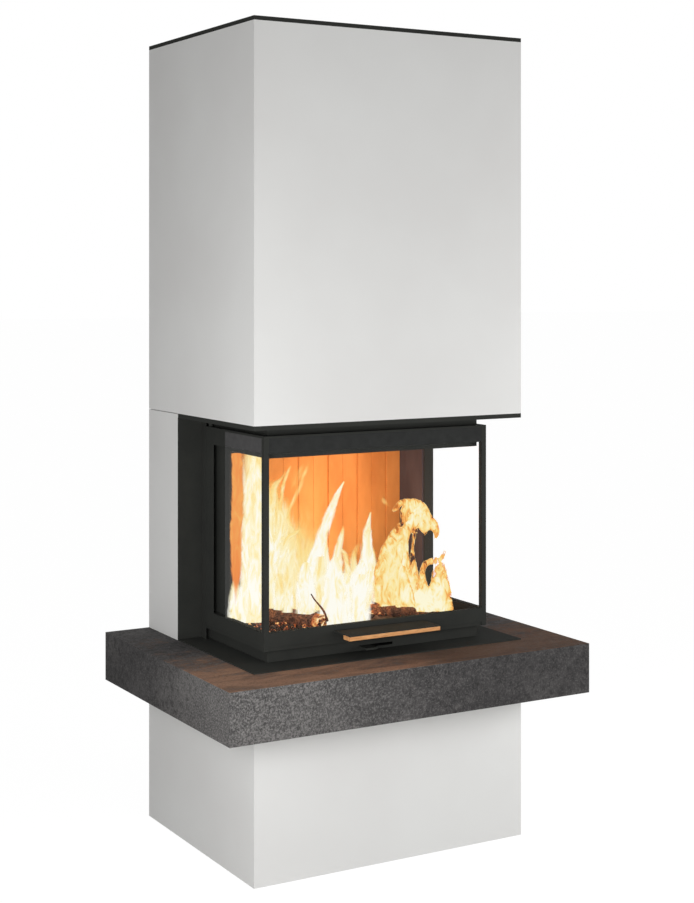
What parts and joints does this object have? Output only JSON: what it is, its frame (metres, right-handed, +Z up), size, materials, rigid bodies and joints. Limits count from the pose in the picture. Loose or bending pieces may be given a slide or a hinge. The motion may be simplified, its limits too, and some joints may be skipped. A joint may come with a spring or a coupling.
{
  "type": "fireplace kit",
  "caption": "Free-standing wood fireplace kit: white plinth and tall hood, wide stone-look bench and a black insert with a three-sided glass door that lifts on ropes and a counterweight.",
  "frame": {"origin": "on the floor, in the middle of the bench's outline", "axes": "+X to the viewer's right, +Y towards the wall behind, +Z up"},
  "size_m": [1.19, 0.87, 2.4],
  "materials": {
    "black_steel": "matt black stove paint",
    "bare_steel": "plain mild steel",
    "rope_wire": "stranded wire",
    "cast_iron": "raw casting",
    "bearing_brass": "turned",
    "white_render": "fine white render",
    "light_concrete": "cast",
    "bench_ceramic": "rusted-stone ceramic slab",
    "fireclay": "pressed fireclay",
    "door_glass": "clear glass ceramic",
    "seal_rope": "braided glass fibre",
    "grip_wood": "oiled light wood",
    "log_bark": "charred bark"
  },
  "bodies": {
    "surround": {"base_plate": "black_steel", "column_trims": "black_steel", "hood_frame": "black_steel", "hood_top_plate": "black_steel", "insert_base": "black_steel", "firebox_shell": "black_steel", "smoke_box": "black_steel", "air_wash_lip": "black_steel", "guide_rails": "black_steel", "stand_legs": "bare_steel", "stand_feet": "bare_steel", "air_spigot": "bare_steel", "ash_pan": "bare_steel", "smoke_dome": "bare_steel", "flue_collar": "bare_steel", "lift_frame": "bare_steel", "weight_rods": "bare_steel", "rod_brackets": "bare_steel", "door_ropes": "rope_wire", "rope_wraps": "rope_wire", "weight_ropes": "rope_wire", "shaft_bearings": "bearing_brass", "plinth_front": "white_render", "plinth_left": "white_render", "plinth_right": "white_render", "column_left": "white_render", "column_right": "white_render", "hood_front": "white_render", "hood_left": "white_render", "hood_right": "white_render", "bench_core": "light_concrete", "bench_top": "bench_ceramic", "bench_face_front": "bench_ceramic", "bench_face_left": "bench_ceramic", "bench_face_right": "bench_ceramic", "hearth_bricks": "fireclay", "back_bricks": "fireclay", "cheek_bricks": "fireclay", "baffle_plate": "fireclay"},
    "door": {"door_bottom_rail": "black_steel", "door_top_rail": "black_steel", "corner_posts": "black_steel", "rear_stiles": "black_steel", "glass_front": "door_glass", "glass_left": "door_glass", "glass_right": "door_glass", "door_seals": "seal_rope", "door_guides": "bearing_brass", "rope_lugs": "black_steel", "handle_plate": "black_steel", "handle_grip": "grip_wood"},
    "counterweight": {"counterweight": "cast_iron"},
    "lift_shaft": {"lift_shaft": "bare_steel", "pulleys": "bare_steel"},
    "air_slide": {"air_slide": "black_steel"},
    "grate": {"grate": "cast_iron", "log_left": "log_bark", "log_right": "log_bark"}
  },
  "joints": [
    {"name": "door_lift", "type": "slide", "parent": "surround", "child": "door", "axis": [0, 0, 1], "range_m": [0, 0.54], "deforming": ["door_ropes"]},
    {"name": "counterweight_slide", "type": "slide", "parent": "surround", "child": "counterweight", "axis": [0, 0, 1], "range_m": [-0.545, 0.005], "deforming": ["weight_ropes"]},
    {"name": "shaft_turn", "type": "hinge", "parent": "surround", "child": "lift_shaft", "pos_m": [0, 0.205, 1.85], "axis": [1, 0, 0], "range_deg": [-625, 5]},
    {"name": "air_lever", "type": "slide", "parent": "surround", "child": "air_slide", "axis": [1, 0, 0], "range_m": [0, 0.074]},
    {"name": "grate_lift", "type": "slide", "parent": "surround", "child": "grate", "axis": [0, 0, 1], "range_m": [0, 0.03]}
  ],
  "couplings": [
    {"joint": "counterweight_slide", "follows": "door_lift", "ratio": -1},
    {"joint": "shaft_turn", "follows": "door_lift", "rad_per_m": -20}
  ]
}
